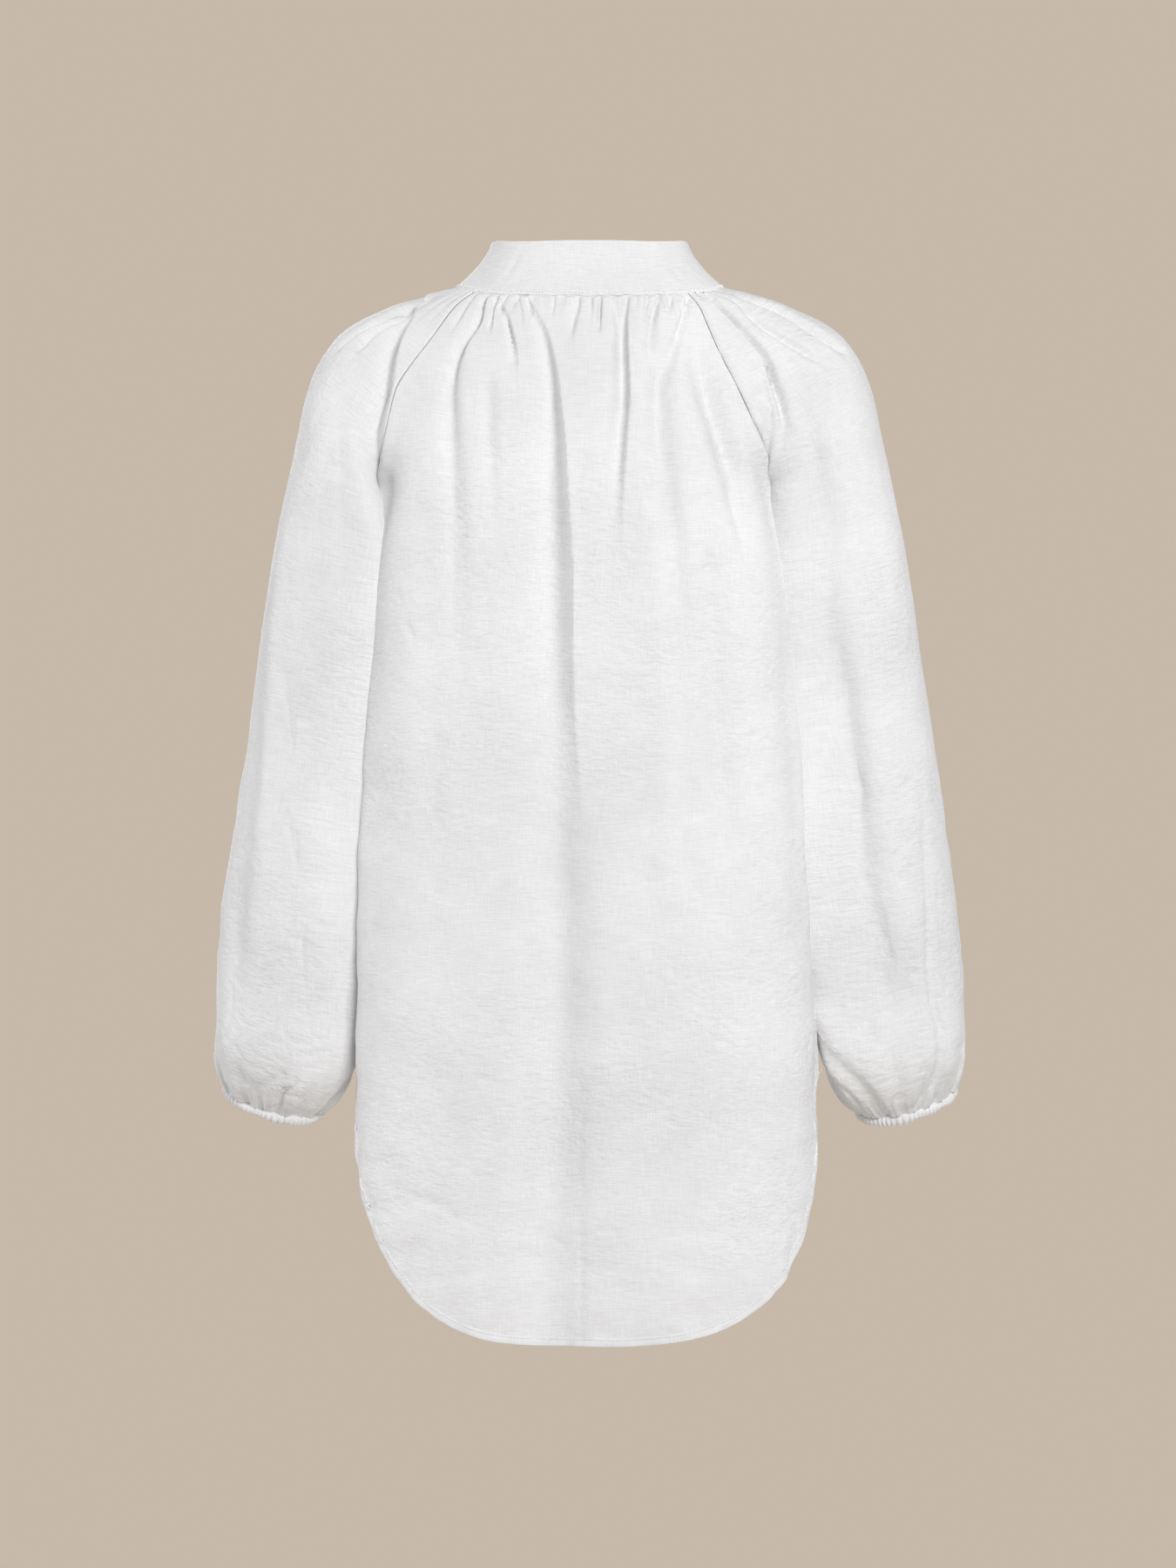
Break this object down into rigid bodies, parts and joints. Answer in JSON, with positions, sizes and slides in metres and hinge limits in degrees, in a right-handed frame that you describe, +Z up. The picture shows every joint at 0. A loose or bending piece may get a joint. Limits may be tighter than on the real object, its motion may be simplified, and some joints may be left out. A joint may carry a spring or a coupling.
{
  "type": "blouse",
  "caption": "Hollow long-sleeved linen blouse with a stand collar, gathered raglan sleeves ending in elastic cuffs, and a curved shirt-tail hem.",
  "frame": {"origin": "middle of the neck opening, at the height of the collar seam at the centre back", "axes": "+Z up along the wearer's spine, -Y towards the front of the garment, +X towards the wearer's left"},
  "size_m": [0.5948, 0.2571, 0.8516],
  "materials": {
    "back_panel": "white plain-weave linen",
    "front_panel": "white plain-weave linen",
    "sleeve_left": "white plain-weave linen",
    "sleeve_right": "white plain-weave linen",
    "collar": "white plain-weave linen",
    "cuff_left": "white plain-weave linen",
    "cuff_right": "white plain-weave linen"
  },
  "bodies": {
    "root": {"back_panel": "back_panel", "front_panel": "front_panel", "sleeve_left": "sleeve_left", "sleeve_right": "sleeve_right", "collar": "collar", "cuff_left": "cuff_left", "cuff_right": "cuff_right"}
  },
  "joints": []
}
